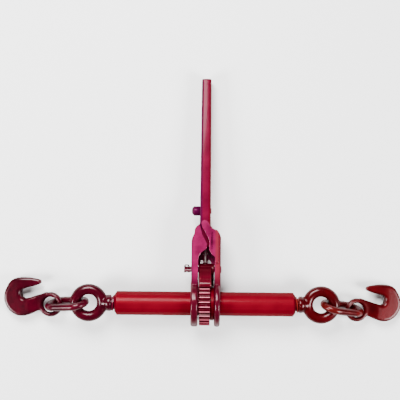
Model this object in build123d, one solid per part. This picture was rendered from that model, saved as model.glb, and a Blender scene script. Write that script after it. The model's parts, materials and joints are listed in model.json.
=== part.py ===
# Ratchet load binder with a screw barrel, two eye bolts, two links and two grab hooks.
# Units are millimetres. X runs along the barrel, Y along the handle and Z upwards.
# The origin is on the barrel's axis, midway between its ends. The binder lies flat on a floor.
import os
from math import asin, cos, degrees, radians, sin

from build123d import *

os.makedirs("parts", exist_ok=True)

# Barrel
barrel_length = 254.0
barrel_radius = 16.7
barrel_end_chamfer = 3.0
barrel_end_land = 1.1
nut_length = 20.0

# Screw threads, drawn plain at their crests: right hand on the right, left hand on the left
thread_radius = 11.1
thread_depth = 2.2
thread_gap = 0.35
bore_gap = 1.4

# Eye bolts
eye_ring_radius = 19.1
eye_section_radius = 7.5
collar_step = 0.6
collar_length = 5.6
closed_gap = 10.4
shank_inner_end = 14.6
washer_lip = 0.8
washer_thickness = 3.2
washer_screw_radius = 4.0
washer_screw_length = 9.0

# Links
link_wire_radius = 5.15
link_inner_width = 17.6
link_straight = 29.4
link_tilt = 26.0
link_roll = 14.0
link_slack = (0.6, 1.3)
link_side_yaw = (5.0, 9.0)

# Grab hooks
hook_eye_clearance = 5.4
hook_eye_wall = 6.5
hook_eye_thickness = 9.4
hook_body_thickness = 15.0
hook_edge_radius = 2.5
hook_scale = (1.02, 0.97)
hook_pitch = (7.6, 8.3)
hook_setback = (2.5, 3.9)
hook_drop = 1.0

# Ratchet gear
gear_teeth = 28
gear_tip_radius = 30.5
gear_tooth_height = 3.2
gear_left_face = -8.4
gear_right_face = 6.8
side_gap = 0.3

# Thrust rings on both sides of the gear
left_ring_thickness = 1.0
right_ring_thickness = 5.6
thrust_ring_radius = 23.0

# Yoke
cheek_radius = 32.0
cheek_bore_gap = 0.3
cheek_edge = 2.6
left_cheek_thickness = 10.2
right_cheek_thickness = 7.9
arm_left_face = -19.6
arm_right_face = 21.6
left_arm_thickness = 9.6
right_arm_thickness = 8.4
arm_half_depth = 17.0
web_thickness = 4.0
stem_end_left = 112.0
stem_end_right = 109.0
tongue_thickness = 3.6

# Handle bar
bar_left_face = -8.3
bar_right_face = 7.2
bar_top_left_face = -7.2
bar_top_right_face = 6.3
bar_half_depth = 13.0
bar_top_half_depth = 11.0
bar_start = 80.0
bar_end = 319.0
bar_taper_start = 118.0
bar_edge = 2.6
bar_end_edge = 1.2

# Pawl, its pin and its cotter
pin_height = 48.3
pin_radius = 4.0
pin_left_end = -29.9
pin_head_radius = 5.3
pin_head_thickness = 1.3
pawl_hub_radius = 8.3
pawl_left_face = -8.2
pawl_right_face = 8.3
pawl_back_left_face = -9.2
pawl_back_right_face = 12.5
pawl_pin_gap = 0.3
pawl_neutral_gap = 0.9
pawl_pitches = 3
cotter_station = -26.0
cotter_wire_radius = 0.9
cotter_hole_radius = 2.0
cotter_head_radius = 3.0
cotter_tilt = 35.0

# Detent plunger and spring
plunger_radius = 2.0
plunger_bore_radius = 4.0
plunger_collar_radius = 3.5
plunger_foot_gap = 0.4
plunger_nose_length = 11.6
plunger_collar_thickness = 1.8
plunger_stem_radius = 1.4
plunger_stem_length = 12.6
plunger_travel = 2.5
spring_wire_radius = 0.55
spring_coil_radius = 2.9
spring_turns = 7
spring_bore_depth = 12.0

# Stud through the handle bar
stud_station = 131.0
stud_shank_radius = 4.0
stud_head_radius = 6.8
stud_head_left_end = -19.7
stud_tail = 1.1

# Angle that brings the handle's free end down onto the floor
handle_droop = degrees(asin((cheek_radius - bar_top_half_depth) / bar_end))
eye_centre_x = barrel_length / 2 + closed_gap + eye_ring_radius + eye_section_radius
gear_pitch = 360.0 / gear_teeth
hook_eye_hole_radius = link_wire_radius + hook_eye_clearance
hook_eye_outer_radius = hook_eye_hole_radius + hook_eye_wall
plunger_foot = pin_height + pawl_hub_radius + plunger_foot_gap
plunger_collar_start = plunger_foot + plunger_nose_length
plunger_collar_end = plunger_collar_start + plunger_collar_thickness
spring_bore_end = plunger_collar_end + 9.6 + spring_bore_depth


def across(shape):
    """Turn a shape built along Z so that it runs along +X."""
    return shape.rotate(Axis.Y, 90)


def rod(radius, x_start, x_end):
    cylinder = Cylinder(radius, x_end - x_start)
    return Pos((x_start + x_end) / 2, 0, 0) * across(cylinder)


def block(x0, x1, y0, y1, z0, z1):
    return Pos((x0 + x1) / 2, (y0 + y1) / 2, (z0 + z1) / 2) * Box(x1 - x0, y1 - y0, z1 - z0)


def mirrored(shape):
    return shape.mirror(Plane.YZ)


def drooped(shape):
    """Turn a piece built along the level handle down to the resting handle's angle."""
    return shape.rotate(Axis.X, -handle_droop)


def make_barrel_tube():
    half = barrel_length / 2
    tube = rod(barrel_radius, -half, half)
    tube -= rod(thread_radius + bore_gap, nut_length - half, half - nut_length)
    tube -= rod(thread_radius + thread_gap, -half - 1, half + 1)
    return tube - barrel_end_cutter() - mirrored(barrel_end_cutter())


def barrel_end_cutter():
    """Space taken off the right end: a cone around the end face."""
    half = barrel_length / 2
    face_radius = thread_radius + thread_gap + barrel_end_land
    profile = Polyline(
        (half - barrel_end_chamfer, barrel_radius),
        (half, face_radius),
        (half + 1, face_radius),
        (half + 1, barrel_radius + 1),
        (half - barrel_end_chamfer, barrel_radius + 1),
        close=True,
    )
    return revolve(make_face(profile), Axis.X)


def make_gear():
    """Symmetric teeth, with a gap centred under the resting handle."""
    points = []
    for tooth in range(gear_teeth):
        gap = radians(tooth * gear_pitch)
        half = radians(gear_pitch / 2)
        for share, tip in ((-0.14, False), (0.14, False), (0.88, True), (1.12, True)):
            reach = gear_tip_radius - (0 if tip else gear_tooth_height)
            points.append((-reach * sin(gap + share * half), reach * cos(gap + share * half)))
    outline = make_face(Polyline(*points, close=True))
    blank = extrude(outline, gear_right_face - gear_left_face)
    blank -= Cylinder(barrel_radius, 100)
    return drooped(Pos(gear_left_face, 0, 0) * across(blank))


def ring(outer, inner, x_start, x_end, edge):
    washer = rod(outer, x_start, x_end)
    washer = chamfer(washer.edges().filter_by(GeomType.CIRCLE), edge)
    return washer - rod(inner, x_start - 1, x_end + 1)


def make_thrust_rings():
    bore = barrel_radius + cheek_bore_gap
    left_end = gear_left_face - side_gap
    right_start = gear_right_face + side_gap
    left = ring(thrust_ring_radius, bore, left_end - left_ring_thickness, left_end, 0.2)
    right = ring(thrust_ring_radius, bore, right_start, right_start + right_ring_thickness, 0.8)
    return left, right


def make_eye_bolt():
    """Right eye bolt: screwed shank, collar and a ring with an upright hole."""
    collar_end = eye_centre_x - eye_ring_radius - eye_section_radius
    collar_start = collar_end - collar_length
    bolt = rod(thread_radius, shank_inner_end, collar_start)
    bolt += rod(thread_radius + collar_step, collar_start, collar_end)
    bolt += neck(collar_end)
    bolt += Pos(eye_centre_x, 0, 0) * Torus(eye_ring_radius, eye_section_radius)
    bolt -= rod(washer_screw_radius, shank_inner_end - 1, shank_inner_end + washer_screw_length)
    return chamfer_shank(bolt)


def neck(collar_end):
    """Flare from the collar into the ring's bar."""
    end = eye_centre_x - eye_ring_radius + 1.0
    profile = Polyline(
        (collar_end - 0.5, 0),
        (collar_end - 0.5, thread_radius + collar_step - 0.9),
        (collar_end + 1.5, thread_radius + collar_step - 0.9),
        (end, eye_section_radius - 0.4),
        (end, 0),
        close=True,
    )
    return revolve(make_face(profile), Axis.X)


def chamfer_shank(bolt):
    """Bevel the inner end of the thread."""
    start = shank_inner_end
    root = thread_radius - thread_depth
    profile = Polyline(
        (start - 1, root),
        (start, root),
        (start + thread_depth, thread_radius + 0.1),
        (start - 1, thread_radius + 0.1),
        close=True,
    )
    return bolt - revolve(make_face(profile), Axis.X)


def make_stop_washer():
    """Stop disc on the shank's inner end, with the screw that holds it."""
    disc = rod(thread_radius + washer_lip, shank_inner_end - washer_thickness, shank_inner_end)
    disc = chamfer(disc.edges().filter_by(GeomType.CIRCLE), 0.5)
    screw_end = shank_inner_end + washer_screw_length - 0.5
    return disc + rod(washer_screw_radius, shank_inner_end - 1, screw_end)


def chain_frames(side):
    """Directions and key points of the link and hook on one side, 0 left and 1 right."""
    sign = 1 if side else -1
    yaw = radians(link_side_yaw[side])
    heading = Vector(sign * cos(yaw), -sin(yaw), 0)
    up = Vector(0, 0, 1)
    along = heading * cos(radians(link_tilt)) - up * sin(radians(link_tilt))
    lifted = heading * sin(radians(link_tilt)) + up * cos(radians(link_tilt))
    sideways = heading.cross(up) * (1 if side else -1)
    across_link = lifted * cos(radians(link_roll)) + sideways * sin(radians(link_roll))
    eye = Vector(sign * eye_centre_x, 0, 0)
    near = eye + heading * (eye_ring_radius - link_slack[side])
    return heading, along, across_link, near


def make_link(side):
    """Oval link swept from round bar, through the eye and the hook's eye."""
    heading, along, across_link, near = chain_frames(side)
    bend = link_inner_width / 2 + link_wire_radius
    normal = along.cross(across_link)
    plane = Plane(origin=near, x_dir=along, z_dir=normal)
    path = Wire(
        [
            Line((0, bend), (link_straight, bend)).edge(),
            ThreePointArc((link_straight, bend), (link_straight + bend, 0), (link_straight, -bend)).edge(),
            Line((link_straight, -bend), (0, -bend)).edge(),
            ThreePointArc((0, -bend), (-bend, 0), (0, bend)).edge(),
        ]
    )
    section = Plane(origin=(0, bend, 0), z_dir=(1, 0, 0)) * Circle(link_wire_radius)
    oval = sweep(section, path=path)
    return plane.location * oval


def hook_outline():
    """Side outline of the hook's body, eye centre at the origin, hook pointing to -X."""
    throat = Spline((-36.1, 7.3), (-40.2, 9.2), (-42.3, 13.6), (-42.0, 18.4), (-38.8, 21.2))
    point = ThreePointArc((-17.2, 27.6), (-14.0, 31.0), (-17.6, 35.0))
    back = Spline(
        (-44.0, 37.0),
        (-52.6, 35.2),
        (-61.5, 24.8),
        (-66.3, 8.0),
        (-61.4, -5.2),
        (-50.1, -15.1),
        (-42.0, -16.9),
        (-34.0, -15.8),
        (-19.3, -9.6),
    )
    edges = [
        Line((-7.0, 16.2), (-36.1, 7.3)).edge(),
        throat.edge(),
        Line((-38.8, 21.2), (-17.2, 27.6)).edge(),
        point.edge(),
        Line((-17.6, 35.0), (-44.0, 37.0)).edge(),
        back.edge(),
        Line((-19.3, -9.6), (-8.0, -6.0)).edge(),
        Line((-8.0, -6.0), (-7.0, 16.2)).edge(),
    ]
    return Face(Wire(edges))


def make_hook_shape():
    body = extrude(hook_outline(), hook_body_thickness / 2, both=True)
    rims = body.edges().filter_by(Plane.XY).filter_by(lambda edge: (edge @ 0.5).X < -8.5)
    body = fillet(rims, hook_edge_radius)
    body -= Cylinder(hook_eye_hole_radius + 3.4, 40)
    half = hook_eye_thickness / 2
    middle = (hook_eye_hole_radius + hook_eye_outer_radius) / 2
    section = Plane.XZ * Pos(middle, 0) * RectangleRounded(
        hook_eye_outer_radius - hook_eye_hole_radius, 2 * half, 3.0
    )
    return body + revolve(section, Axis.Z)


def make_hook(side):
    """Grab hook hanging in its link, lying back on the floor."""
    heading = chain_frames(side)[0]
    pivot = hook_pivot(side)
    ring_middle = (hook_eye_hole_radius + hook_eye_outer_radius) / 2 * hook_scale[side]
    shape = make_hook_shape().scale(hook_scale[side])
    if side:
        shape = mirrored(shape)
    centre = heading * ring_middle
    shape = Pos(centre.X, centre.Y, centre.Z) * shape
    pitch = hook_pitch[side] if side else -hook_pitch[side]
    return Pos(pivot.X, pivot.Y, pivot.Z) * shape.rotate(Axis.Y, pitch)


def hook_pivot(side):
    """Middle of the bar of the hook's eye where the link goes round it."""
    heading, along, across_link, near = chain_frames(side)
    far = near + along * link_straight
    return far - heading * hook_setback[side] - Vector(0, 0, hook_drop)


def cheek_side(x_start, x_end, round_left):
    """One cheek disc with its outer rim rounded."""
    disc = rod(cheek_radius, x_start, x_end)
    face_x = x_start if round_left else x_end
    rim = disc.edges().filter_by_position(Axis.X, face_x - 0.01, face_x + 0.01)
    return fillet(rim, cheek_edge)


def web(points, z_start, z_end):
    """Flat web cut to an outline seen from above."""
    face = make_face(Polyline(*points, close=True))
    return Pos(0, 0, z_start) * extrude(face, z_end - z_start)


def shoulder_cut(left):
    """Space outside the stem where the yoke narrows towards the handle."""
    if left:
        points = [(-30, 88.8), (arm_left_face, 88.8), (-18.6, 92.7), (-15.6, 99.8), (-15.1, 104.7)]
        points += [(-12.7, 108.4), (-8.3, 112.0), (-8.3, 125), (-30, 125)]
    else:
        points = [(30, 93.7), (arm_right_face, 93.7), (19.2, 99.6), (16.7, 103), (10.6, 105.4)]
        points += [(7.2, 109.0), (7.2, 125), (30, 125)]
    return web(points, -50, 50)


def make_left_yoke():
    cheek_inner = gear_left_face - left_ring_thickness - 2 * side_gap
    yoke = cheek_side(cheek_inner - left_cheek_thickness, cheek_inner, True)
    z_in = bar_half_depth
    z_out = bar_half_depth + web_thickness
    arm_inner = arm_left_face + left_arm_thickness
    yoke += block(arm_left_face, arm_inner, 0, stem_end_left, -arm_half_depth, arm_half_depth)
    front = [(-15, 62), (-10.2, 62), (-9.5, 66), (-6, 72), (2, 78), (2.3, 84)]
    front += [(-4.5, 97), (-8.3, 112), (-15, 112)]
    yoke += web(front, z_in, z_out)
    back = [(-15, 54), (-7.4, 54.5), (-6.4, 60.5), (-4.4, 62), (-3.0, 60.5), (-2.6, 54.5)]
    back += [(-1.0, 54), (-1.0, 105), (-8.3, 112), (-15, 112)]
    yoke += web(back, -z_out, -z_in)
    yoke += block(-12.4, bar_left_face, bar_start, 112, -z_in, z_in)
    yoke -= shoulder_cut(True)
    return finish_yoke(yoke)


def make_right_yoke():
    cheek_inner = gear_right_face + right_ring_thickness + 2 * side_gap
    yoke = cheek_side(cheek_inner, cheek_inner + right_cheek_thickness, False)
    z_in = bar_half_depth
    z_out = bar_half_depth + web_thickness
    arm_inner = arm_right_face - right_arm_thickness
    yoke += block(arm_inner, arm_right_face, 0, stem_end_right, -arm_half_depth, arm_half_depth)
    front = [(16, 60), (14.2, 60), (14.2, 65), (8.8, 70), (5.2, 76), (5.2, 109), (16, 109)]
    yoke += web(front, z_in, z_out + tongue_thickness)
    tongue = [(5.3, 76), (5.3, 90), (-5.6, 112.5), (-4.6, 116), (-1.2, 117.2), (2.6, 115.2)]
    tongue += [(7.2, 105), (7.2, 100)]
    yoke += web(tongue, z_out, z_out + tongue_thickness)
    pad = [(5.3, 88), (3.5, 88), (-3.9, 98), (-5.6, 112.5), (-4.6, 116), (-1.2, 117.2), (2.6, 115.2)]
    pad += [(7.2, 105), (7.2, 100)]
    yoke += web(pad, z_in, z_out)
    back = [(16, 54), (9.2, 54.5), (8.0, 59), (5.2, 62.5), (3.6, 61), (3.2, 54.5), (-0.6, 54)]
    back += [(-0.6, 105), (6, 109), (16, 109)]
    yoke += web(back, -z_out, -z_in)
    yoke += block(bar_right_face, 13.8, bar_start, 109, -z_in, z_in)
    yoke -= shoulder_cut(False)
    return finish_yoke(yoke)


def finish_yoke(yoke):
    """Bore the cheek and the pawl pin's hole, then turn the piece to its rest angle."""
    yoke -= rod(barrel_radius + cheek_bore_gap, -40, 40)
    pin_hole = Pos(0, pin_height, 0) * rod(pin_radius, -40, 40)
    return drooped(yoke - pin_hole)


def bar_section(y, left_face, right_face, half_depth):
    """Cross-section of the handle bar at one station, its corners bevelled."""
    plane = Plane(origin=(0, y, 0), x_dir=(1, 0, 0), z_dir=(0, 1, 0))
    rectangle = Rectangle(right_face - left_face, 2 * half_depth)
    bevelled = chamfer(rectangle.vertices(), bar_edge)
    return plane * Pos((right_face + left_face) / 2, 0) * bevelled


def make_handle_bar():
    """Bar, straight inside the yoke and tapered beyond it, bored for the detent spring."""
    foot = bar_section(bar_start, bar_left_face, bar_right_face, bar_half_depth)
    shoulder = bar_section(bar_taper_start, bar_left_face, bar_right_face, bar_half_depth)
    top = bar_section(bar_end, bar_top_left_face, bar_top_right_face, bar_top_half_depth)
    bar = extrude(foot, bar_taper_start - bar_start, dir=(0, 1, 0)) + loft([shoulder, top])
    end_edges = bar.edges().filter_by_position(Axis.Y, bar_end - 0.1, bar_end + 0.1)
    bar = chamfer(end_edges, bar_end_edge)
    bar -= along_handle(plunger_bore_radius, bar_start - 5, spring_bore_end)
    bar -= Pos(0, stud_station, 0) * rod(stud_shank_radius, -30, 30)
    return drooped(bar)


def make_stud():
    """Domed stud through the bar, riveted over on the right."""
    bar_share = (stud_station - bar_taper_start) / (bar_end - bar_taper_start)
    left_face = bar_left_face
    right_face = bar_right_face + (bar_top_right_face - bar_right_face) * bar_share
    shank = rod(stud_shank_radius, left_face - 1, right_face + stud_tail)
    neck_end = left_face - 3.0
    head = rod(stud_head_radius, stud_head_left_end + 3.6, left_face)
    dome = Pos(stud_head_left_end + 4.2, 0, 0) * Sphere(stud_head_radius)
    head += dome & rod(stud_head_radius + 1, stud_head_left_end, neck_end)
    return drooped(Pos(0, stud_station, 0) * (head + shank))


def make_pawl_pin():
    right_end = arm_right_face + 0.02
    pin = rod(pin_radius, pin_left_end, right_end)
    tip = pin.edges().filter_by_position(Axis.X, pin_left_end - 0.1, pin_left_end + 0.1)
    pin = chamfer(tip, 0.8)
    head = rod(pin_head_radius, arm_right_face, arm_right_face + pin_head_thickness)
    rim = head.edges().filter_by_position(Axis.X, head.bounding_box().max.X - 0.01, 99)
    head = chamfer(rim, 0.6)
    pin += head
    hole = Cylinder(cotter_hole_radius, 4 * pin_radius).rotate(Axis.X, -cotter_tilt)
    return drooped(Pos(0, pin_height, 0) * (pin - Pos(cotter_station, 0, 0) * hole))


def make_cotter():
    """Split pin with a round eye above the pawl pin and two legs bent apart below it."""
    reach = pin_radius + 1.4
    gap = cotter_wire_radius + 0.02
    pieces = []
    for sign in (1, -1):
        leg = Polyline((sign * gap, -reach), (sign * gap, reach), (sign * (gap + 3.6), reach + 1.2))
        start = Plane(origin=(sign * gap, -reach, 0), z_dir=(0, 1, 0))
        leg_solid = sweep(start * Circle(cotter_wire_radius), path=leg, transition=Transition.ROUND)
        pieces.append(leg_solid)
    head = Pos(0, -reach - cotter_head_radius + 0.6, 0) * Torus(cotter_head_radius, cotter_wire_radius)
    cotter = (pieces[0] + pieces[1] + head).rotate(Axis.X, -90 - cotter_tilt)
    return drooped(Pos(cotter_station, pin_height, 0) * cotter)


def around_barrel(radius, angle):
    """Side-view point at an angle from the handle about the barrel's axis."""
    return radius * cos(angle), radius * sin(angle)


def make_pawl():
    """Two-nosed pawl held clear of the teeth, its top rounded about the pin."""
    clear = gear_tip_radius + pawl_neutral_gap
    nose = radians(pawl_pitches * gear_pitch)
    width = radians(gear_pitch * 0.17)
    inner_flank = around_barrel(clear + 3.6, nose - 2.6 * width)
    tip_a = around_barrel(clear, nose - width)
    tip_b = around_barrel(clear, nose + width)
    outer_flank = around_barrel(clear + 3.4, nose + 2.4 * width)
    shoulder = (pin_height - 9.5, 17.5)
    hub_side = (pin_height + 3.0, pawl_hub_radius - 0.6)
    right = [tip_a, tip_b, outer_flank, shoulder, hub_side]
    left = [(y, -z) for y, z in reversed(right)]
    arc = [inner_flank]
    for share in (0.6, 0.3, 0.0, -0.3, -0.6):
        arc.append(around_barrel(clear + 3.6, nose * share))
    arc.append((inner_flank[0], -inner_flank[1]))
    outline = right + left + list(reversed(arc))
    face = Plane.YZ * make_face(Polyline(*outline, close=True))
    body = extrude(face, pawl_right_face - pawl_left_face, dir=(1, 0, 0))
    pawl = Pos(pawl_left_face, 0, 0) * body
    wide_body = extrude(face, pawl_back_right_face - pawl_back_left_face, dir=(1, 0, 0))
    wide_body = Pos(pawl_back_left_face, 0, 0) * wide_body
    pawl += wide_body & block(-40, 40, 0, 100, -40, -6)
    pawl += Pos(0, pin_height, 0) * rod(pawl_hub_radius, pawl_back_left_face, pawl_back_right_face)
    pawl -= Pos(0, pin_height, 0) * rod(pin_radius + pawl_pin_gap, -40, 40)
    return drooped(pawl)


def along_handle(radius, y_start, y_end):
    cylinder = Cylinder(radius, y_end - y_start).rotate(Axis.X, -90)
    return Pos(0, (y_start + y_end) / 2, 0) * cylinder


def make_plunger():
    """Round-nosed plunger with a collar under the spring and a guide stem inside it."""
    plunger = along_handle(plunger_radius, plunger_foot + plunger_radius, plunger_collar_start)
    plunger += Pos(0, plunger_foot + plunger_radius, 0) * Sphere(plunger_radius)
    plunger += along_handle(plunger_collar_radius, plunger_collar_start, plunger_collar_end)
    stem_end = plunger_collar_end + plunger_stem_length
    plunger += along_handle(plunger_stem_radius, plunger_collar_end, stem_end)
    return drooped(plunger)


def make_spring():
    """Coil spring round the plunger's stem, seated on its collar."""
    start = plunger_collar_end + spring_wire_radius + 0.02
    length = spring_bore_end - plunger_travel - 0.4 - spring_wire_radius - start
    helix = Helix(length / spring_turns, length, spring_coil_radius)
    section = Plane(origin=helix @ 0, z_dir=helix % 0) * Circle(spring_wire_radius)
    coil = sweep(section, path=helix, is_frenet=True)
    coil = coil.rotate(Axis.X, -90)
    return drooped(Pos(0, start, 0) * coil)


def write_barrel_parts():
    export_step(make_barrel_tube(), "parts/barrel_tube.step")
    export_step(make_gear(), "parts/ratchet_gear.step")
    left_ring, right_ring = make_thrust_rings()
    export_step(left_ring, "parts/left_thrust_ring.step")
    export_step(right_ring, "parts/right_thrust_ring.step")
    bolt = make_eye_bolt()
    washer = make_stop_washer()
    export_step(bolt, "parts/right_eye_bolt.step")
    export_step(mirrored(bolt), "parts/left_eye_bolt.step")
    export_step(washer, "parts/right_stop_washer.step")
    export_step(mirrored(washer), "parts/left_stop_washer.step")


def write_chain_parts():
    export_step(make_link(0), "parts/left_link.step")
    export_step(make_link(1), "parts/right_link.step")
    export_step(make_hook(0), "parts/left_grab_hook.step")
    export_step(make_hook(1), "parts/right_grab_hook.step")


def write_handle_parts():
    export_step(make_left_yoke(), "parts/left_yoke.step")
    export_step(make_right_yoke(), "parts/right_yoke.step")
    export_step(make_handle_bar(), "parts/handle_bar.step")
    export_step(make_stud(), "parts/bar_stud.step")
    export_step(make_pawl_pin(), "parts/pawl_pin.step")
    export_step(make_cotter(), "parts/pawl_pin_cotter.step")
    export_step(make_pawl(), "parts/pawl.step")
    export_step(make_plunger(), "parts/detent_plunger.step")
    export_step(make_spring(), "parts/detent_spring.step")


write_barrel_parts()
write_chain_parts()
write_handle_parts()
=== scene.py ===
import json
from math import cos, pi, radians, sin

import bmesh
import bpy
from mathutils import Matrix, Vector


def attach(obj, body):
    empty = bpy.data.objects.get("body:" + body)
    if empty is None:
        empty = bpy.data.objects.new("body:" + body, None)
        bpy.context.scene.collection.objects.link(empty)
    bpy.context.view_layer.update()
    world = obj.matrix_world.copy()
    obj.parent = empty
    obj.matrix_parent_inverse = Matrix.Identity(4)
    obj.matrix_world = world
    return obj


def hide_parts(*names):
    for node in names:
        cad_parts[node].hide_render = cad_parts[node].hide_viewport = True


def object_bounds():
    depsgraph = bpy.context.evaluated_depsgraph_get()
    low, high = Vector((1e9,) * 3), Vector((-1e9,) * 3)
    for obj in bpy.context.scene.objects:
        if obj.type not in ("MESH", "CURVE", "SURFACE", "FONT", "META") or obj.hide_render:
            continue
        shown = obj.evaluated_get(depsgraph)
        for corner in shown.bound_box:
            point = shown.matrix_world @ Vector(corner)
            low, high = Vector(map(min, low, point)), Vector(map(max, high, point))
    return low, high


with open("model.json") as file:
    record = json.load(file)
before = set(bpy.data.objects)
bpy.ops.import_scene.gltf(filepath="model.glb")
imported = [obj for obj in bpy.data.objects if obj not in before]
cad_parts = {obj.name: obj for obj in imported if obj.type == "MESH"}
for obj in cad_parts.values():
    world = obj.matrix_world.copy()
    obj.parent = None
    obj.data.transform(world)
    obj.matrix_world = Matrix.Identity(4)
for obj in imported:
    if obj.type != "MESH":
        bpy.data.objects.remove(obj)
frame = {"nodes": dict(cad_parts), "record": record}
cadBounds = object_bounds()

# shapes are drawn in millimetres and brought to metres when a piece is finished
mm = 0.001
toMetres = Matrix.Scale(mm, 4)
mergeDistance = 0.001
joints = {j["name"]: j for j in frame["record"]["behaviour"]["joints"]}


def jointPlace(name):
    return Vector(joints[name]["pos_m"]) / mm


# the handle is drawn along Y and then turned by its small droop, which the plunger's slide follows
handleDirection = Vector(joints["plunger_slide"]["axis"])
handleDroop = Vector((0, 1, 0)).angle(handleDirection)
handlePlace = toMetres @ Matrix.Rotation(-handleDroop, 4, "X")
pinHeight = jointPlace("pawl_tilt").length


# shaping helpers

def meshOf(source):
    # evaluated mesh of a curve or of an object with modifiers, as a bmesh
    depsgraph = bpy.context.evaluated_depsgraph_get()
    mesh = bpy.data.meshes.new_from_object(source.evaluated_get(depsgraph))
    bm = bmesh.new()
    bm.from_mesh(mesh)
    bpy.data.meshes.remove(mesh)
    bpy.data.objects.remove(source)
    return bm


def linked(name, data):
    obj = bpy.data.objects.new(name, data)
    bpy.context.scene.collection.objects.link(obj)
    bpy.context.view_layer.update()
    return obj


def objectOf(name, bm):
    mesh = bpy.data.meshes.new(name)
    bm.to_mesh(mesh)
    bm.free()
    return linked(name, mesh)


def flatCurve(name, outlines):
    curve = bpy.data.curves.new(name, "CURVE")
    curve.dimensions = "2D"
    curve.fill_mode = "BOTH"
    for outline in outlines:
        addBezier(curve, outline, True)
    return curve


def solidOf(name, curve):
    bm = meshOf(linked(name, curve))
    bmesh.ops.remove_doubles(bm, verts=bm.verts, dist=mergeDistance)
    return bm


def addBezier(curve, points, cyclic):
    # each point is (x, y) or (x, y, z), with "v" at the end for a sharp corner
    spline = curve.splines.new("BEZIER")
    spline.bezier_points.add(len(points) - 1)
    for knot, point in zip(spline.bezier_points, points):
        corner = point[-1] == "v"
        place = [value for value in point if value != "v"]
        knot.co = place + [0] * (3 - len(place))
        knot.handle_left_type = knot.handle_right_type = "VECTOR" if corner else "AUTO"
    spline.use_cyclic_u = cyclic


def plate(outlines, half, edge, resolution=8):
    # flat plate across Z with rounded edges, later outlines being holes in it
    curve = flatCurve("plate", outlines)
    curve.resolution_u = resolution
    curve.extrude = half - edge
    curve.bevel_depth = edge
    curve.offset = -edge
    curve.bevel_resolution = 4
    return solidOf("plate", curve)


def roundBar(points, radius):
    # smooth open path of round wire
    curve = bpy.data.curves.new("bar", "CURVE")
    curve.dimensions = "3D"
    curve.resolution_u = 12
    curve.bevel_depth = radius
    curve.bevel_resolution = 8
    curve.use_fill_caps = True
    addBezier(curve, points, False)
    return solidOf("bar", curve)


def circlePoints(radius, count=12, centre=(0, 0)):
    turns = [2 * pi * i / count for i in range(count)]
    return [(centre[0] + radius * cos(a), centre[1] + radius * sin(a)) for a in turns]


def lathe(profile, steps=48):
    # (x, radius) profile turned about the X axis
    bm = bmesh.new()
    verts = [bm.verts.new((x, 0, -r)) for x, r in profile]
    for a, b in zip(verts, verts[1:]):
        bm.edges.new((a, b))
    bmesh.ops.spin(bm, geom=bm.verts[:] + bm.edges[:], cent=(0, 0, 0), axis=(1, 0, 0),
                   angle=2 * pi, steps=steps, use_merge=True, use_duplicate=False)
    bmesh.ops.remove_doubles(bm, verts=bm.verts, dist=mergeDistance)
    return bm


def ringBar(ringRadius, barRadius, flatten=1.0, steps=64):
    # ring about the Z axis
    bm = bmesh.new()
    circle = bmesh.ops.create_circle(bm, segments=24, radius=barRadius)
    bmesh.ops.scale(bm, vec=(1, flatten, 1), verts=circle["verts"])
    bmesh.ops.rotate(bm, cent=(0, 0, 0), matrix=Matrix.Rotation(pi / 2, 3, "X"), verts=bm.verts)
    bmesh.ops.translate(bm, vec=(ringRadius, 0, 0), verts=bm.verts)
    bmesh.ops.spin(bm, geom=bm.verts[:] + bm.edges[:], cent=(0, 0, 0), axis=(0, 0, 1),
                   angle=2 * pi, steps=steps, use_merge=True, use_duplicate=False)
    bmesh.ops.remove_doubles(bm, verts=bm.verts, dist=mergeDistance)
    return bm


def moved(bm, matrix):
    bmesh.ops.transform(bm, matrix=matrix, verts=bm.verts)
    return bm


def joined(parts):
    whole = bmesh.new()
    for part in parts:
        bmesh.ops.recalc_face_normals(part, faces=part.faces)
        mesh = bpy.data.meshes.new("part")
        part.to_mesh(mesh)
        part.free()
        whole.from_mesh(mesh)
        bpy.data.meshes.remove(mesh)
    return whole


def forged(parts, voxel, rounds):
    # overlapping parts grown together into one smooth skin
    obj = objectOf("forging", joined(parts))
    remesh = obj.modifiers.new("skin", "REMESH")
    remesh.mode = "VOXEL"
    remesh.voxel_size = voxel
    smooth = obj.modifiers.new("soften", "SMOOTH")
    smooth.factor = 0.5
    smooth.iterations = rounds
    return meshOf(obj)


def combined(bm, tool, operation):
    # boolean of two bmeshes
    pair = []
    for shape in (bm, tool):
        bmesh.ops.recalc_face_normals(shape, faces=shape.faces)
        pair.append(objectOf("forging", shape))
    cut = pair[0].modifiers.new("cut", "BOOLEAN")
    cut.operation = operation
    cut.object = pair[1]
    cut.solver = "EXACT"
    result = meshOf(pair[0])
    bpy.data.objects.remove(pair[1])
    return result


def eased(share):
    # smooth step from nought to one
    share = max(0.0, min(1.0, share))
    return share * share * (3 - 2 * share)


def finishPiece(name, bm, place, body, node, material, smooth=True):
    # brings a shape to its place in metres and puts it on its body instead of its CAD node
    moved(bm, place)
    bmesh.ops.remove_doubles(bm, verts=bm.verts, dist=mergeDistance * mm)
    bmesh.ops.recalc_face_normals(bm, faces=bm.faces)
    for face in bm.faces:
        face.smooth = smooth
    obj = objectOf(name, bm)
    obj.data.materials.append(material)
    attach(obj, body)
    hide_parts(node)


# materials

class Wire:
    # a shader socket that can be used in sums
    def __init__(self, graph, socket):
        self.graph, self.socket = graph, socket

    def maths(self, operation, a, b):
        return self.graph.add("Math", {"operation": operation}, {0: a, 1: b})

    def __add__(self, other):
        return self.maths("ADD", self, other)

    def __radd__(self, other):
        return self.maths("ADD", other, self)

    def __rsub__(self, other):
        return self.maths("SUBTRACT", other, self)

    def __mul__(self, other):
        return self.maths("MULTIPLY", self, other)

    def __rmul__(self, other):
        return self.maths("MULTIPLY", other, self)


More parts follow.
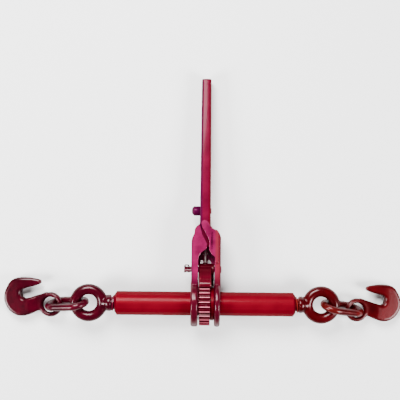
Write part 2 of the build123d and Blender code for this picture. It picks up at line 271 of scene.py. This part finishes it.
class Graph:
    def __init__(self, name):
        self.material = bpy.data.materials.new(name)
        self.material.use_nodes = True
        self.tree = self.material.node_tree
        self.shader = self.tree.nodes["Principled BSDF"]

    def add(self, kind, settings, inputs, output=0):
        node = self.tree.nodes.new("ShaderNode" + kind)
        for key, value in settings.items():
            if key == "stops":
                for stop, (position, colour) in zip(node.color_ramp.elements, value):
                    stop.position, stop.color = position, colour
            else:
                setattr(node, key, value)
        for key, value in inputs.items():
            self.plug(node.inputs[key], value)
        return Wire(self, node.outputs[output])

    def plug(self, socket, value):
        if isinstance(value, Wire):
            self.tree.links.new(value.socket, socket)
        else:
            socket.default_value = value

    def set(self, **inputs):
        for key, value in inputs.items():
            self.plug(self.shader.inputs[key.replace("_", " ")], value)

    def place(self):
        return self.add("TexCoord", {}, {}, "Object")

    def noise(self, scale, detail=3, roughness=0.5):
        inputs = {"Vector": self.place(), "Scale": scale, "Detail": detail, "Roughness": roughness}
        return self.add("TexNoise", {}, inputs, "Fac")

    def ramp(self, value, low, high):
        stops = [(low, (0, 0, 0, 1)), (high, (1, 1, 1, 1))]
        return self.add("ValToRGB", {"stops": stops}, {"Fac": value}, "Color")

    def blend(self, mask, a, b):
        inputs = {0: mask, 6: a, 7: b}
        return self.add("Mix", {"data_type": "RGBA"}, inputs, 2)

    def bump(self, height, strength, distance):
        inputs = {"Height": height, "Strength": strength, "Distance": distance}
        return self.add("Bump", {}, inputs, "Normal")


def rgb(red, green, blue):
    return (red, green, blue, 1)


def enamel(name, deep, body, edgeHighlight, roughness=0.3, coat=0.5, grain=1.0, tint=None):
    # dipped glossy enamel: painted shade darkens the hollows and creases, a painted highlight brightens the
    # sharp edges, with random grime
    shadeAndGrime = rgb(0.012, 0.0, 0.003)
    graph = Graph(name)
    clouds = graph.ramp(graph.noise(38, 4, 0.6), 0.34, 0.68)
    streaks = graph.ramp(graph.noise(150, 5, 0.65), 0.4, 0.75)
    colour = graph.blend(clouds, deep, body)
    colour = graph.blend(streaks * 0.35, colour, deep)
    edges = graph.add("NewGeometry", {}, {}, "Pointiness")
    # painted highlight: a pale colour laid on sharp outer edges
    colour = graph.blend(graph.ramp(edges, 0.515, 0.6) * 0.6, colour, edgeHighlight)
    # some pieces pass a function that paints light and shade by place
    if tint:
        colour = tint(graph, colour)
    # painted shade: hollows and creases darkened
    colour = graph.blend(graph.ramp(edges, 0.40, 0.49), shadeAndGrime, colour)
    # random grime, darkened with the same colour
    grime = graph.ramp(graph.noise(520, 3, 0.7), 0.62, 0.8)
    colour = graph.blend(grime * 0.5, colour, shadeAndGrime)
    peel = graph.noise(420, 2, 0.4)
    casting = graph.noise(110, 4, 0.6)
    # the gloss fades where the surface turns away, so edges stay dark against a pale floor
    facing = graph.add("LayerWeight", {}, {"Blend": 0.35}, "Facing")
    gloss = 1 - graph.ramp(facing, 0.45, 0.85)
    graph.set(Base_Color=colour, Roughness=roughness + 0.16 * clouds,
              Coat_Weight=coat * gloss, Coat_Roughness=0.16, Coat_IOR=1.4,
              Coat_Tint=rgb(1.0, 0.7, 0.75),
              Metallic=0.3, Specular_IOR_Level=0.0, Specular_Tint=rgb(0.35, 0.02, 0.08),
              Normal=graph.bump(peel * 0.35 + casting * 0.65, 0.35 * grain, 0.0006))
    return graph.material


def oiledSteel(name):
    graph = Graph(name)
    lines = graph.noise(900, 3, 0.5)
    stains = graph.ramp(graph.noise(220, 4, 0.6), 0.45, 0.7)
    colour = graph.blend(stains, rgb(0.42, 0.40, 0.38), rgb(0.20, 0.17, 0.15))
    graph.set(Base_Color=colour, Roughness=0.28 + 0.2 * stains, Metallic=1.0,
              Normal=graph.bump(lines, 0.2, 0.0002))
    return graph.material


def along(graph, axis):
    return graph.add("SeparateXYZ", {}, {"Vector": graph.place()}, axis)


def acrossAxis(graph, axis, low, high):
    # mask that grows between two places along an axis, in metres, brought inside a ramp's range
    perMetre, middle = 2, 0.5
    where = along(graph, axis) * perMetre + middle
    return graph.ramp(where, low * perMetre + middle, high * perMetre + middle)


def yokeSheenAndShade(graph, colour):
    # dull dark red near the barrel, magenta on the stem that is partly a painted sheen, a plum painted
    # shade on the left side, coral on the right arm and a dark painted shade on its outer side
    leftShaded = graph.blend(acrossAxis(graph, "X", -0.0190, -0.0172), rgb(0.045, 0.0, 0.02), colour)
    coral = graph.blend(acrossAxis(graph, "X", 0.0125, 0.0155), leftShaded, rgb(0.17, 0.012, 0.03))
    rightShaded = graph.blend(acrossAxis(graph, "X", 0.0192, 0.0206), coral, rgb(0.05, 0.0, 0.008))
    return graph.blend(acrossAxis(graph, "Y", 0.026, 0.046), rgb(0.055, 0.001, 0.009), rightShaded)


def barBevelShade(graph, colour):
    # painted shade in plum on the left bevel, a brighter red painted as light on the right bevel
    leftShaded = graph.blend(acrossAxis(graph, "X", -0.0062, -0.0048), rgb(0.05, 0.0, 0.022), colour)
    return graph.blend(acrossAxis(graph, "X", 0.0034, 0.0046), leftShaded, rgb(0.09, 0.001, 0.008))


def gearTipHighlight(graph, colour):
    # painted highlight on the tips of the teeth, by the square of the radius
    y, z = along(graph, "Y"), along(graph, "Z")
    rangeScale = 1000
    tipGlint = graph.ramp((y * y + z * z) * rangeScale, 0.914, 0.928)
    return graph.blend(tipGlint, colour, rgb(0.9, 0.25, 0.35))


barrelPaint = enamel("barrelPaint", rgb(0.03, 0.0, 0.002), rgb(0.058, 0.0, 0.004),
                     rgb(0.2, 0.003, 0.012), 0.42, 0.1, 0.5)
leftPaint = enamel("leftForgingPaint", rgb(0.02, 0.0, 0.003), rgb(0.05, 0.0, 0.006),
                   rgb(0.25, 0.012, 0.05), 0.3, 0.55)
rightPaint = enamel("rightForgingPaint", rgb(0.03, 0.0, 0.001), rgb(0.065, 0.001, 0.003),
                    rgb(0.40, 0.04, 0.03), 0.3, 0.55)
yokePaint = enamel("yokePaint", rgb(0.10, 0.002, 0.03), rgb(0.25, 0.009, 0.085),
                   rgb(0.5, 0.06, 0.2), 0.3, 0.6, 1.0, yokeSheenAndShade)
barPaint = enamel("barPaint", rgb(0.05, 0.0, 0.008), rgb(0.1, 0.001, 0.018),
                  rgb(0.3, 0.02, 0.06), 0.38, 0.2, 1.0, barBevelShade)
gearPaint = enamel("gearPaint", rgb(0.03, 0.0, 0.003), rgb(0.09, 0.0, 0.009),
                   rgb(0.5, 0.05, 0.08), 0.3, 0.6, 1.0, gearTipHighlight)
pawlPaint = enamel("pawlPaint", rgb(0.03, 0.0, 0.003), rgb(0.085, 0.001, 0.01),
                   rgb(0.5, 0.06, 0.1), 0.28, 0.8)
bareSteel = oiledSteel("bareSteel")
sides = (("left", -1, leftPaint), ("right", 1, rightPaint))
print("materials made")


# screwed eye bolts

eyeBolt = {"lead": 5.5, "crestRadius": 11.1, "rootRadius": 8.9, "crest": 0.22, "root": 0.26,
           "shankStart": 14.6, "firstTurn": 3, "turns": 21, "stepsPerTurn": 32, "collarStart": 131.8,
           "collar": 11.7, "collarEnd": 137.4, "ring": 19.1, "bar": 7.5, "webHalf": 4.6, "webEdge": 2.4}


def threadShank():
    # one turn's profile wound along the axis, with crest and root as shares of the lead
    lead, crest, root = eyeBolt["lead"], eyeBolt["crest"], eyeBolt["root"]
    stepsPerTurn = eyeBolt["stepsPerTurn"]
    flank = (1 - crest - root) / 2
    start = eyeBolt["firstTurn"] * lead
    outer, inner = eyeBolt["crestRadius"], eyeBolt["rootRadius"]
    profile = [(-0.5, inner), (-0.5 + root / 2, inner), (-crest / 2, outer), (crest / 2, outer),
               (crest / 2 + flank, inner), (0.5, inner)]
    bm = bmesh.new()
    verts = [bm.verts.new((start + share * lead, 0, -radius)) for share, radius in profile]
    for a, b in zip(verts, verts[1:]):
        bm.edges.new((a, b))
    bmesh.ops.spin(bm, geom=bm.verts[:] + bm.edges[:], cent=(0, 0, 0), axis=(1, 0, 0),
                   dvec=(lead / stepsPerTurn, 0, 0), angle=2 * pi * eyeBolt["turns"],
                   steps=stepsPerTurn * eyeBolt["turns"], use_merge=False, use_duplicate=False)
    bmesh.ops.remove_doubles(bm, verts=bm.verts, dist=0.002)
    return bm


def shankCore():
    # plain rod just under the thread's root, with a chamfered end
    radius = eyeBolt["rootRadius"] - 0.05
    start, end = eyeBolt["shankStart"], eyeBolt["collarStart"] + 2
    return lathe([(start, 0), (start, radius - 1), (start + 1, radius), (end, radius), (end, 0)], 32)


def forgedEye(centre):
    # ring, flared neck and collar forged in one
    collar, bar = eyeBolt["collar"], eyeBolt["bar"]
    start, end = eyeBolt["collarStart"], eyeBolt["collarEnd"]
    ringStart = centre - eyeBolt["ring"]
    neck = lathe([(start, 0), (start, collar - 1.3), (start + 0.9, collar - 0.2),
                  (end - 1.2, collar), (end + 1.0, collar - 0.8), (end + 4.0, bar + 1.6),
                  (ringStart + 1, bar - 0.2), (ringStart + 3, bar - 2.5), (ringStart + 3, 0)])
    ring = moved(ringBar(eyeBolt["ring"], bar), Matrix.Translation((centre, 0, 0)))
    webs = plate([[(end, 7.5), (end + 3, 12.0), (end + 9.5, 17.0), (end + 12, 8, "v"),
                   (end + 12, -8, "v"), (end + 9.5, -17.0), (end + 3, -12.0), (end, -7.5)]],
                 eyeBolt["webHalf"], eyeBolt["webEdge"])
    return forged([neck, ring, webs], 0.75, 10)


for side, sign, paint in sides:
    mirror = toMetres @ Matrix.Scale(sign, 4, (1, 0, 0))
    body, node = side + "_bolt", side + "_eye_bolt"
    centre = abs(jointPlace(side + "_link_swing").x)
    finishPiece(side + "ForgedEye", forgedEye(centre), mirror, body, node, paint)
    shank = joined([threadShank(), shankCore()])
    finishPiece(side + "ScrewShank", shank, mirror, body, node, paint, smooth=False)
print("eye bolts made")


# links

link = {"wire": 5.15, "inner": 17.6, "straight": 29.4, "tilt": 26.0, "roll": 14.0, "weld": 1.07,
        "weldHalf": 1.6, "straightSteps": 10, "slack": {"left": 0.6, "right": 1.3},
        "yaw": {"left": 5.0, "right": 9.0}}


def linkAxes(side, sign):
    # the way the chain leads, the link's length and width, and its centre in the eye
    yaw, tilt, roll = radians(link["yaw"][side]), radians(link["tilt"]), radians(link["roll"])
    up = Vector((0, 0, 1))
    heading = Vector((sign * cos(yaw), -sin(yaw), 0))
    lengthAxis = heading * cos(tilt) - up * sin(tilt)
    lifted = heading * sin(tilt) + up * cos(tilt)
    sideways = heading.cross(up) * sign
    widthAxis = lifted * cos(roll) + sideways * sin(roll)
    near = jointPlace(side + "_link_swing") + heading * (eyeBolt["ring"] - link["slack"][side])
    return heading, lengthAxis, widthAxis, near


def axesMatrix(xAxis, yAxis, origin):
    zAxis = xAxis.cross(yAxis)
    matrix = Matrix((xAxis, yAxis, zAxis)).transposed().to_4x4()
    matrix.translation = origin
    return matrix


def edgesOf(geometry):
    return [g for g in geometry if isinstance(g, bmesh.types.BMEdge)]


def looseOf(geometry):
    return [g for g in geometry if not isinstance(g, bmesh.types.BMFace)]


def ovalLink():
    # a circle of bar carried round two bends and two straights, with a weld swell
    bend = link["inner"] / 2 + link["wire"]
    straight, steps = link["straight"], link["straightSteps"]
    bm = bmesh.new()
    bmesh.ops.create_circle(bm, segments=28, radius=link["wire"])
    bmesh.ops.rotate(bm, cent=(0, 0, 0), matrix=Matrix.Rotation(pi / 2, 3, "Y"), verts=bm.verts)
    bmesh.ops.translate(bm, vec=(0, bend, 0), verts=bm.verts)
    front = bm.verts[:] + bm.edges[:]
    for centre, forward in ((straight, 1), (0, -1)):
        for step in range(steps):
            front = bmesh.ops.extrude_edge_only(bm, edges=edgesOf(front))["geom"]
            verts = [g for g in front if isinstance(g, bmesh.types.BMVert)]
            bmesh.ops.translate(bm, vec=(forward * straight / steps, 0, 0), verts=verts)
        front = bmesh.ops.spin(bm, geom=looseOf(front), cent=(centre, 0, 0), axis=(0, 0, -1),
                               angle=pi, steps=22, use_merge=False, use_duplicate=False)["geom_last"]
    bmesh.ops.remove_doubles(bm, verts=bm.verts, dist=10 * mergeDistance)
    weld = [v for v in bm.verts if abs(v.co.x - straight / 2) < link["weldHalf"] and v.co.y < 0]
    bmesh.ops.translate(bm, vec=(0, bend, 0), verts=weld)
    bmesh.ops.scale(bm, vec=(1, link["weld"], link["weld"]), verts=weld)
    bmesh.ops.translate(bm, vec=(0, -bend, 0), verts=weld)
    return bm


for side, sign, paint in sides:
    lengthAxis, widthAxis, near = linkAxes(side, sign)[1:]
    place = toMetres @ axesMatrix(lengthAxis, widthAxis, near)
    finishPiece(side + "OvalLink", ovalLink(), place, side + "_link", side + "_link", paint)
print("links made")


# grab hooks

hook = {"eyeRing": 13.8, "eyeBar": 3.3, "eyeHeight": 1.42, "eyeThin": 0.62, "eyeReach": 16.0,
        "pointThin": 0.58, "half": 7.4, "edge": 3.8, "scale": {"left": 1.02, "right": 0.97},
        "pitch": {"left": 7.6, "right": 8.3}}

hookOutline = [(-4.0, 16.6), (-12.0, 14.8), (-33.0, 8.2), (-37.6, 7.5), (-41.2, 10.4), (-42.4, 15.2),
               (-41.0, 19.8), (-36.0, 22.1), (-17.8, 27.5), (-14.2, 29.6), (-14.6, 33.4),
               (-18.0, 35.0), (-44.0, 36.9), (-53.6, 34.6), (-61.5, 25.4), (-66.2, 10.0),
               (-62.8, -3.0), (-52.0, -14.0), (-42.0, -16.8), (-32.0, -15.4), (-21.0, -10.6),
               (-15.0, -8.6), (-6.0, -12.0, "v"), (2.0, 4.0, "v")]


def grabHook():
    # flat forging with its eye drilled out and ringed, thinner round the eye and towards the point
    radius, reach = hook["eyeRing"], hook["eyeReach"]
    drill = bmesh.new()
    bmesh.ops.create_cone(drill, cap_ends=True, segments=64, radius1=radius, radius2=radius, depth=40)
    body = combined(plate([hookOutline], hook["half"], hook["edge"], 10), drill, "DIFFERENCE")
    eye = ringBar(radius, hook["eyeBar"], hook["eyeHeight"] / hook["eyeThin"], 56)
    shape = forged([body, eye], 0.7, 6)
    for vert in shape.verts:
        nearEye = 1 - eased((vert.co.xy.length - reach) / reach)
        nearPoint = eased((vert.co.x + 48) / 34) * eased((vert.co.y - 17) / 4)
        vert.co.z *= (1 - (1 - hook["eyeThin"]) * nearEye) * (1 - (1 - hook["pointThin"]) * nearPoint)
    return shape


for side, sign, paint in sides:
    heading = linkAxes(side, sign)[0]
    size = hook["scale"][side]
    place = (toMetres @ Matrix.Translation(jointPlace(side + "_hook_swing"))
             @ Matrix.Rotation(radians(sign * hook["pitch"][side]), 4, "Y")
             @ Matrix.Translation(heading * hook["eyeRing"] * size)
             @ Matrix.Scale(size, 4) @ Matrix.Scale(-sign, 4, (1, 0, 0)))
    finishPiece(side + "GrabHook", grabHook(), place, side + "_hook", side + "_grab_hook", paint)
print("hooks made")


# yoke, two forged halves

yoke = {"cheek": 32.0, "bore": 17.05, "leftCheek": (-20.2, -10.0), "rightCheek": (13.0, 20.9),
        "leftArm": (-19.6, -10.05), "rightArm": (13.25, 21.6), "half": 17.0, "webIn": 12.9,
        "webOut": 17.0, "tongue": 3.6, "leftEnd": 112, "rightEnd": 109, "lipStart": 4.2,
        "toolReach": 60}

# handle's side view stood across X
acrossYoke = Matrix(((0, 0, 1, 0), (1, 0, 0, 0), (0, 1, 0, 0), (0, 0, 0, 1)))


def sidePlate(outline, xRange, edge):
    # plate across X, its outline in (y, z)
    bm = plate([outline], (xRange[1] - xRange[0]) / 2, edge)
    return moved(bm, Matrix.Translation((sum(xRange) / 2, 0, 0)) @ acrossYoke)


def webPlate(outline, zRange, edge):
    # plate across Z, its outline in (x, y)
    bm = plate([outline], (zRange[1] - zRange[0]) / 2, edge)
    return moved(bm, Matrix.Translation((0, 0, sum(zRange) / 2)))


def sharp(points):
    return [point + ("v",) for point in points]


def armPlate(xRange, end):
    # straight-sided from the stem down into the cheek
    half = yoke["half"]
    outline = sharp([(0, -half), (end, -half), (end, half), (0, half)])
    return sidePlate(outline, xRange, 0.8)


def bored(bm):
    # bores along X for the barrel
    radius, reach = yoke["bore"], yoke["toolReach"]
    drill = lathe([(-reach, 0), (-reach, radius), (reach, radius), (reach, 0)], 72)
    return combined(bm, drill, "DIFFERENCE")


def clipped(bm, outline):
    # keeps what is inside a prism drawn from above
    curve = flatCurve("clip", [outline])
    curve.extrude = yoke["toolReach"]
    return combined(bm, solidOf("clip", curve), "INTERSECT")


def leftYokeHalf():
    zIn, zOut = yoke["webIn"], yoke["webOut"]
    end = yoke["leftEnd"]
    cheek = sidePlate(circlePoints(yoke["cheek"], 16), yoke["leftCheek"], 3.0)
    arm = armPlate(yoke["leftArm"], end)
    front = sharp([(-17, 60), (-10.2, 60), (-9.5, 66), (-6, 72), (2.0, 78), (2.3, 84),
                   (-4.5, 97), (-8.3, end), (-17, end)])
    back = sharp([(-17, 53), (-7.4, 54.5), (-6.4, 60.5), (-4.4, 62), (-3.0, 60.5), (-2.6, 54.5),
                  (-1.1, 54), (-1.1, 105), (-8.3, end), (-17, end)])
    stem = sharp([(-15.0, 80), (-8.4, 80), (-8.4, end), (-15.0, end)])
    parts = [cheek, arm, webPlate(front, (zIn, zOut), 0.4), webPlate(back, (-zOut, -zIn), 0.8),
             webPlate(stem, (-zOut, zOut), 0.4)]
    bm = bored(forged(parts, 0.55, 3))
    shoulder = [(-40, -40, "v"), (10, -40, "v"), (10, end, "v"), (-8.3, end, "v"), (-12.7, 108.4),
                (-15.1, 104.7), (-15.6, 99.8), (-18.4, 93.0), (-19.6, 88.8, "v"), (-21, 80, "v"),
                (-40, 70, "v")]
    return clipped(bm, shoulder)


def rightYokeHalf():
    zIn, zOut = yoke["webIn"], yoke["webOut"]
    top = zOut + yoke["tongue"]
    end = yoke["rightEnd"]
    cheek = sidePlate(circlePoints(yoke["cheek"], 16), yoke["rightCheek"], 3.0)
    arm = armPlate(yoke["rightArm"], end)
    front = sharp([(18, 58), (13.8, 58), (13.8, 65.4), (8.8, 70), (5.2, 76), (5.2, 92), (7.3, end),
                   (18, end)])
    back = sharp([(18, 53), (9.2, 54.5), (8.0, 59), (5.2, 62.5), (3.6, 61), (3.2, 54.5), (-0.5, 54),
                  (-0.5, 105), (6, end), (18, end)])
    stem = sharp([(7.3, 80), (16.0, 80), (16.0, end), (7.3, end)])
    parts = [cheek, arm, webPlate(front, (zIn, top), 0.5), webPlate(back, (-zOut, -zIn), 0.8),
             webPlate(stem, (-zOut, zOut), 0.4)]
    bm = bored(forged(parts, 0.55, 3))
    shoulder = [(-12, -40, "v"), (40, -40, "v"), (40, 70, "v"), (22, 85, "v"), (21.6, 93.7, "v"),
                (19.2, 99.6), (16.7, 103), (10.6, 105.6), (7.2, 109.4, "v"), (6.5, 120, "v"),
                (-12, 120, "v")]
    # pointed lip that closes over the left half's front face
    lip = [(5.4, 75.8, "v"), (5.4, 89, "v"), (0.2, 99), (-5.4, 110.5), (-5.2, 115.0), (-1.4, 117.1),
           (2.4, 115.4), (7.3, 105, "v"), (11, 100, "v"), (11, 75.8, "v")]
    return joined([clipped(bm, shoulder), webPlate(lip, (zIn + yoke["lipStart"], top), 0.5)])


finishPiece("leftYokeHalf", leftYokeHalf(), handlePlace, "handle", "left_yoke", yokePaint)
finishPiece("rightYokeHalf", rightYokeHalf(), handlePlace, "handle", "right_yoke", yokePaint)
print("yoke made")


# handle bar and its stud

bar = {"start": 80.0, "taperStart": 118.0, "end": 318.9, "foot": (-8.3, 7.2), "top": (-7.2, 6.3),
       "footHalf": 12.95, "topHalf": 11.0, "edge": 2.7, "endChamfer": 1.0}


def handleBar():
    # eight-sided bar, straight inside the yoke, tapered beyond it and chamfered at its end
    edge, chamfer = bar["edge"], bar["endChamfer"]
    footLeft, footRight = bar["foot"]
    topLeft, topRight = bar["top"]
    footHalf, topHalf = bar["footHalf"], bar["topHalf"]
    sections = ((bar["start"], footLeft, footRight, footHalf, edge),
                (bar["taperStart"], footLeft, footRight, footHalf, edge),
                (bar["end"] - chamfer, topLeft, topRight, topHalf, edge),
                (bar["end"], topLeft + chamfer, topRight - chamfer, topHalf - chamfer, edge - 0.4))
    bm = bmesh.new()
    loops = []
    for station, left, right, half, edge in sections:
        corners = [(left + edge, half), (right - edge, half), (right, half - edge), (right, edge - half),
                   (right - edge, -half), (left + edge, -half), (left, edge - half), (left, half - edge)]
        loops.append([bm.verts.new((x, station, z)) for x, z in corners])
    for near, far in zip(loops, loops[1:]):
        for i in range(8):
            bm.faces.new((near[i], near[(i + 1) % 8], far[(i + 1) % 8], far[i]))
    bm.faces.new(loops[0])
    bm.faces.new(loops[-1][::-1])
    bmesh.ops.recalc_face_normals(bm, faces=bm.faces)
    edges = [e for e in bm.edges if e.calc_face_angle(0) > 0.2]
    bmesh.ops.bevel(bm, geom=edges, offset=0.4, segments=3, profile=0.5, affect="EDGES", material=-1)
    return bm


finishPiece("handleBar", handleBar(), handlePlace, "handle", "handle_bar", barPaint)

stud = {"station": 131.0, "headEnd": -19.7, "headRadius": 6.8, "dome": 0.62, "barLeft": -8.2,
        "barRight": 6.9, "tail": 8.0, "tailRadius": 4.0}


def domedStud():
    # domed head left of the bar and a peened tail that just shows on its right
    head, radius, tail, tailRadius = stud["headEnd"], stud["headRadius"], stud["tail"], stud["tailRadius"]
    dome = [(head + radius * stud["dome"] * (1 - cos(radians(turn))), radius * sin(radians(turn)))
            for turn in range(0, 91, 15)]
    profile = dome + [(stud["barLeft"] - 0.9, radius), (stud["barLeft"], radius - 0.5),
                      (stud["barLeft"], tailRadius), (stud["barRight"], tailRadius),
                      (tail - 0.5, tailRadius), (tail, tailRadius - 0.7), (tail, 0)]
    return moved(lathe(profile), Matrix.Translation((0, stud["station"], 0)))


finishPiece("barStud", domedStud(), handlePlace, "handle", "bar_stud", barPaint)
print("handle bar made")


# pawl, its pin and cotter

pin = {"radius": 4.0, "left": -29.9, "right": 21.58, "headRadius": 5.3, "head": 1.3,
       "cotter": -26.0, "wire": 0.9, "eyeRadius": 3.0, "tilt": 35}


def pawlPin():
    # cross pin with a chamfered left end and a low head on the right
    radius, left, right = pin["radius"], pin["left"], pin["right"]
    headRadius, headEnd = pin["headRadius"], right + pin["head"]
    profile = [(left, 0), (left, radius - 1), (left + 1, radius), (right, radius),
               (right, headRadius - 0.1), (right + 0.4, headRadius),
               (headEnd - 0.2, headRadius - 0.7), (headEnd, 3.4), (headEnd + 0.05, 0)]
    return moved(lathe(profile, 40), Matrix.Translation((0, pinHeight, 0)))


def cotterPin():
    # one wire: a leg, the round eye and back again, its ends bent apart
    wire = pin["wire"]
    reach = pin["radius"] + 1.4
    side = wire + 0.02
    eye = pin["eyeRadius"]
    centre = reach + eye - 0.6
    loop = [(eye * sin(radians(turn)), centre - eye * cos(radians(turn))) for turn in range(60, 181, 30)]
    leg = [(side + 3.2, -reach - 1.1), (side + 0.6, -reach - 0.5), (side, 1.5 - reach), (side, reach - 0.8)]
    half = leg + loop
    points = half + [(-x, y) for x, y in reversed(half[:-1])]
    bm = roundBar([(x, 0.0, y) for x, y in points], wire)
    turned = Matrix.Rotation(radians(-pin["tilt"]), 4, "X")
    return moved(bm, Matrix.Translation((pin["cotter"], pinHeight, 0)) @ turned)


finishPiece("pawlPin", pawlPin(), handlePlace, "handle", "pawl_pin", leftPaint)
finishPiece("pawlCotter", cotterPin(), handlePlace, "handle", "pawl_pin_cotter", leftPaint)

pawl = {"body": (-8.2, 8.3), "back": (-9.2, 12.6), "backTop": -6, "hubRadius": 8.3, "clear": 31.4,
        "nose": 38.571}


def onGear(radius, degrees):
    return radius * cos(radians(degrees)), radius * sin(radians(degrees))


def doublePawl():
    # two noses on an arc round the gear, wider towards the floor and round the hub
    clear, nose = pawl["clear"], pawl["nose"]
    inner = [onGear(clear + 3.4, nose * share) for share in (0.8, 0.5, 0.2, -0.2, -0.5, -0.8)]
    right = [onGear(clear + 2.2, nose - 4.6) + ("v",), onGear(clear, nose - 1.9) + ("v",),
             onGear(clear, nose + 1.9) + ("v",), onGear(clear + 3.6, nose + 5.2),
             (pinHeight - 9.5, 17.2), (pinHeight - 3.0, 12.4), (pinHeight + 3.2, 7.3)]
    left = [(y, -z) + tuple(rest) for y, z, *rest in reversed(right)]
    outline = right + left + list(reversed(inner))
    body = sidePlate(outline, pawl["body"], 0.7)
    back = sidePlate(outline, pawl["back"], 0.7)
    halfSpace = webPlate(sharp([(-30, 0), (30, 0), (30, 80), (-30, 80)]), (-60, pawl["backTop"]), 0.1)
    back = combined(back, halfSpace, "INTERSECT")
    hub = sidePlate(circlePoints(pawl["hubRadius"], 12, (pinHeight, 0)), pawl["back"], 0.9)
    return forged([body, back, hub], 0.5, 3)


finishPiece("doublePawl", doublePawl(), handlePlace, "pawl", "pawl", pawlPaint)
print("pawl made")


# ratchet gear

gear = {"teeth": 28, "tip": 30.5, "toothHeight": 3.2, "faces": (-8.4, 6.8), "bore": 16.75,
        "gapHalf": 0.14, "tipHalf": 0.12}


def ratchetGear():
    # a ring of symmetric teeth with softened edges, a gap facing the handle
    halfPitch = pi / gear["teeth"]
    bore, tip, root = gear["bore"], gear["tip"], gear["tip"] - gear["toothHeight"]
    gapHalf, tipHalf = gear["gapHalf"], gear["tipHalf"]
    corners = ((-gapHalf, root), (gapHalf, root), (1 - tipHalf, tip), (1 + tipHalf, tip))
    bm = bmesh.new()
    loops = []
    for x in gear["faces"]:
        outer = []
        inner = []
        for tooth in range(gear["teeth"]):
            for share, radius in corners:
                angle = (2 * tooth + share) * halfPitch
                outer.append(bm.verts.new((x, radius * cos(angle), radius * sin(angle))))
                inner.append(bm.verts.new((x, bore * cos(angle), bore * sin(angle))))
        loops.append((outer, inner))
    (outerA, innerA), (outerB, innerB) = loops
    rim = []
    count = len(outerA)
    for i in range(count):
        j = (i + 1) % count
        rim.append(bm.faces.new((outerA[i], outerA[j], outerB[j], outerB[i])))
        bm.faces.new((innerA[j], innerA[i], innerB[i], innerB[j]))
        bm.faces.new((outerA[j], outerA[i], innerA[i], innerA[j]))
        bm.faces.new((outerB[i], outerB[j], innerB[j], innerB[i]))
    bmesh.ops.recalc_face_normals(bm, faces=bm.faces)
    edges = list({edge for face in rim for edge in face.edges})
    bmesh.ops.bevel(bm, geom=edges, offset=0.45, segments=3, profile=0.5, affect="EDGES", material=-1)
    return bm


finishPiece("ratchetGear", ratchetGear(), handlePlace, "barrel", "ratchet_gear", gearPaint, smooth=False)
print("gear made")


# CAD pieces whose shape stays

keptNodes = {"barrel_tube": barrelPaint, "left_thrust_ring": barrelPaint,
             "right_thrust_ring": barrelPaint, "left_stop_washer": bareSteel,
             "right_stop_washer": bareSteel, "detent_plunger": bareSteel, "detent_spring": bareSteel}
for node, material in keptNodes.items():
    materials = frame["nodes"][node].data.materials
    materials.clear()
    materials.append(material)
print("kept nodes painted")


# floor, lights and camera

def matt(name, colour, roughness):
    graph = Graph(name)
    speck = graph.noise(30, 2)
    graph.set(Base_Color=colour, Roughness=roughness + 0.05 * speck)
    return graph.material


floorGap = 0.0003
floorShape = bmesh.new()
bmesh.ops.create_grid(floorShape, x_segments=1, y_segments=1, size=4.0)
bmesh.ops.translate(floorShape, vec=(0, 0, cadBounds[0][2] - floorGap), verts=floorShape.verts)
floor = objectOf("floor", floorShape)
floor.data.materials.append(matt("paleFloor", rgb(0.93, 0.93, 0.93), 0.7))

# each lamp's place, size and power
lamps = {"overhead": ((-0.35, 1.0, 1.25), 0.8, 72), "fill": ((1.15, -0.35, 0.95), 0.6, 42),
         "back": ((-1.15, -0.3, 0.8), 0.5, 36)}
aim = Vector((0, 0.1, 0))
for name, (place, size, power) in lamps.items():
    lampData = bpy.data.lights.new(name, "AREA")
    lampData.size = size
    lampData.energy = power
    lamp = linked(name, lampData)
    lamp.location = place
    lamp.rotation_euler = (aim - Vector(place)).to_track_quat("-Z", "Y").to_euler()

world = bpy.data.worlds.new("studio")
world.use_nodes = True
world.node_tree.nodes["Background"].inputs["Color"].default_value = rgb(1, 1, 1)
world.node_tree.nodes["Background"].inputs["Strength"].default_value = 0.16
bpy.context.scene.world = world

# straight down, its lens set by the width that it takes in from its height
view = {"centre": (-0.0084, 0.1463), "height": 1.3, "width": 0.5644, "roll": 0.6, "sensor": 36}
cameraData = bpy.data.cameras.new("camera")
cameraData.sensor_width = view["sensor"]
cameraData.lens = view["sensor"] * view["height"] / view["width"]
camera = linked("camera", cameraData)
camera.location = (*view["centre"], view["height"])
camera.rotation_euler = (0, 0, radians(view["roll"]))
bpy.context.scene.camera = camera
print("stage set")
